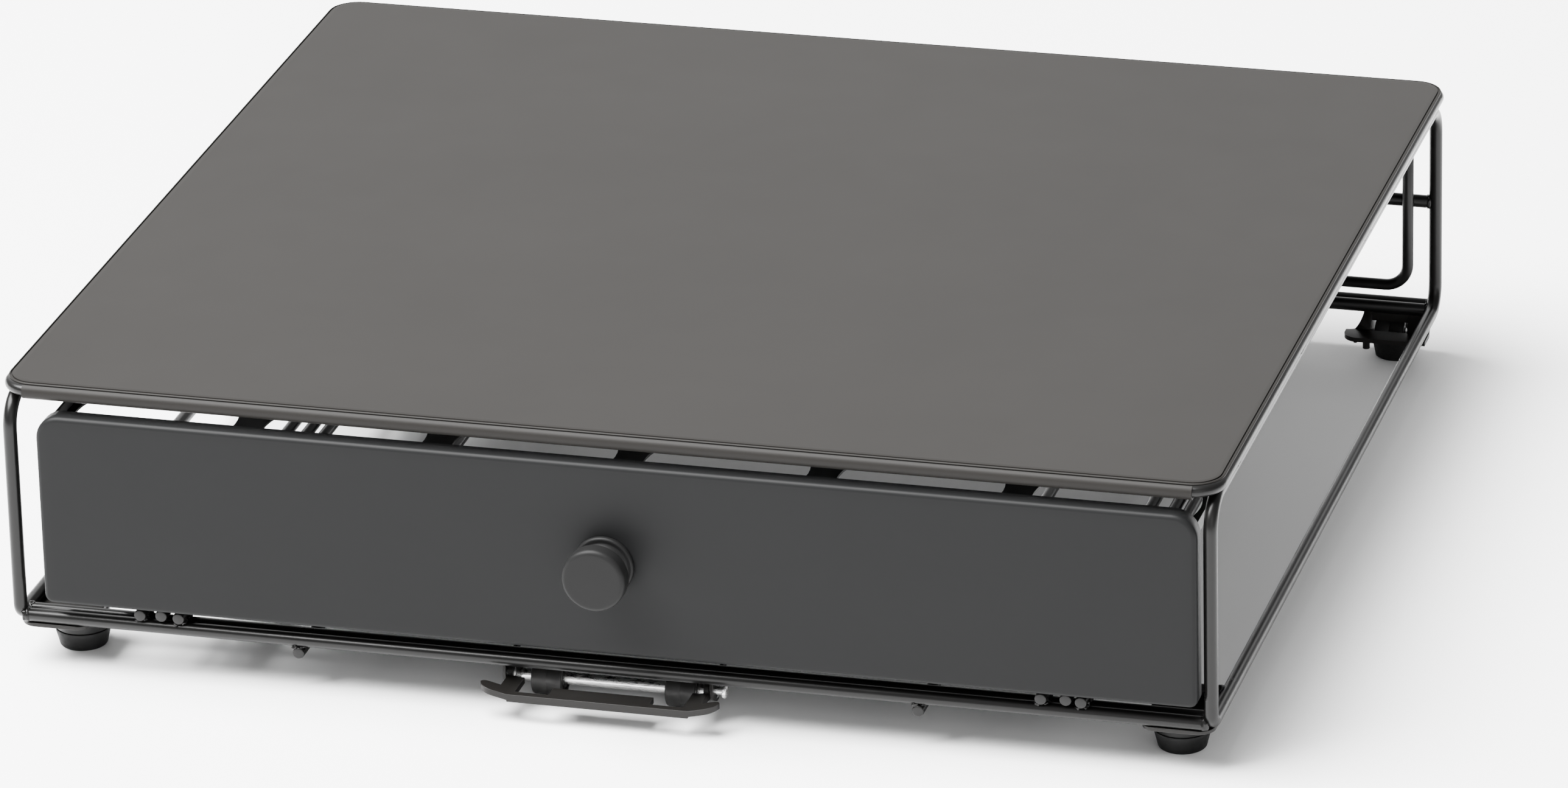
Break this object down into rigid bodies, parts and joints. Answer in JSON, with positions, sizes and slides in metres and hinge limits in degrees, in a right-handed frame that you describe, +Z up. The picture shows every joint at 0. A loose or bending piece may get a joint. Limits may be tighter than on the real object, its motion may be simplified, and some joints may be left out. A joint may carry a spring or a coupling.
{
  "type": "coffee pod drawer",
  "caption": "Low storage drawer for coffee pods: a wire frame under a flat sheet top, a pull-out perforated tray, rubber feet, and a front lever with rollers.",
  "frame": {"origin": "middle of the object's outline, at the floor", "axes": "+X to the right seen from the front, +Y from the front panel to the back, +Z up; the drawer pulls out along -Y"},
  "size_m": [0.3542, 0.331, 0.0872],
  "materials": {
    "frame_wire": "satin",
    "top_sheet": "satin",
    "front_panel": "satin",
    "tray_sheet": "satin",
    "bracket_steel": "satin",
    "foot_cup": "satin",
    "rubber": "matt",
    "roller": "matt",
    "plated_steel": "bright",
    "knob": "satin"
  },
  "bodies": {
    "root": {"side_loop_left": "frame_wire", "side_loop_right": "frame_wire", "front_rail": "frame_wire", "front_inner_rail": "frame_wire", "lever_rail": "frame_wire", "rear_rail": "frame_wire", "rear_inner_rail": "frame_wire", "rear_upper_bar": "frame_wire", "tie_wire_left": "frame_wire", "tie_wire_right": "frame_wire", "guide_left_outer": "frame_wire", "guide_left_inner": "frame_wire", "guide_right_inner": "frame_wire", "guide_right_outer": "frame_wire", "rim_wire": "frame_wire", "top_sheet": "top_sheet", "foot_plate_left": "bracket_steel", "foot_plate_right": "bracket_steel", "foot_cup_left": "foot_cup", "foot_cup_right": "foot_cup", "foot_front_left": "rubber", "foot_front_right": "rubber", "foot_rear_left": "rubber", "foot_rear_right": "rubber", "foot_screw_left": "plated_steel", "foot_screw_right": "plated_steel", "rear_bracket_left": "bracket_steel", "rear_bracket_right": "bracket_steel", "rear_axle_left": "plated_steel", "rear_axle_right": "plated_steel", "lever_ear_left": "bracket_steel", "lever_ear_right": "bracket_steel", "lever_rivet_left": "plated_steel", "lever_rivet_right": "plated_steel"},
    "drawer": {"front_panel": "front_panel", "knob": "knob", "knob_screw": "plated_steel", "pod_tray": "tray_sheet", "drawer_front_loop": "frame_wire", "drawer_rear_loop": "frame_wire", "runner_left": "frame_wire", "runner_right": "frame_wire"},
    "lever": {"lever_paddle": "bracket_steel", "front_axle": "plated_steel"},
    "front_roller_left": {"front_roller_left": "roller"},
    "front_roller_right": {"front_roller_right": "roller"},
    "rear_roller_left": {"rear_roller_left": "roller"},
    "rear_roller_right": {"rear_roller_right": "roller"}
  },
  "joints": [
    {"name": "drawer_slide", "type": "slide", "parent": "root", "child": "drawer", "axis": [0, -1, 0], "range_m": [0, 0.25]},
    {"name": "lever_hinge", "type": "hinge", "parent": "root", "child": "lever", "pos_m": [-0.0005, -0.14335, 0.0092], "axis": [-1, 0, 0], "range_deg": [0, 30]},
    {"name": "front_roller_left_spin", "type": "hinge", "parent": "lever", "child": "front_roller_left", "pos_m": [-0.02015, -0.13655, 0.0055], "axis": [1, 0, 0], "continuous": true},
    {"name": "front_roller_right_spin", "type": "hinge", "parent": "lever", "child": "front_roller_right", "pos_m": [0.01915, -0.13655, 0.0055], "axis": [1, 0, 0], "continuous": true},
    {"name": "rear_roller_left_spin", "type": "hinge", "parent": "root", "child": "rear_roller_left", "pos_m": [-0.1606, 0.15945, 0.00535], "axis": [1, 0, 0], "continuous": true},
    {"name": "rear_roller_right_spin", "type": "hinge", "parent": "root", "child": "rear_roller_right", "pos_m": [0.1606, 0.15945, 0.00535], "axis": [1, 0, 0], "continuous": true}
  ]
}
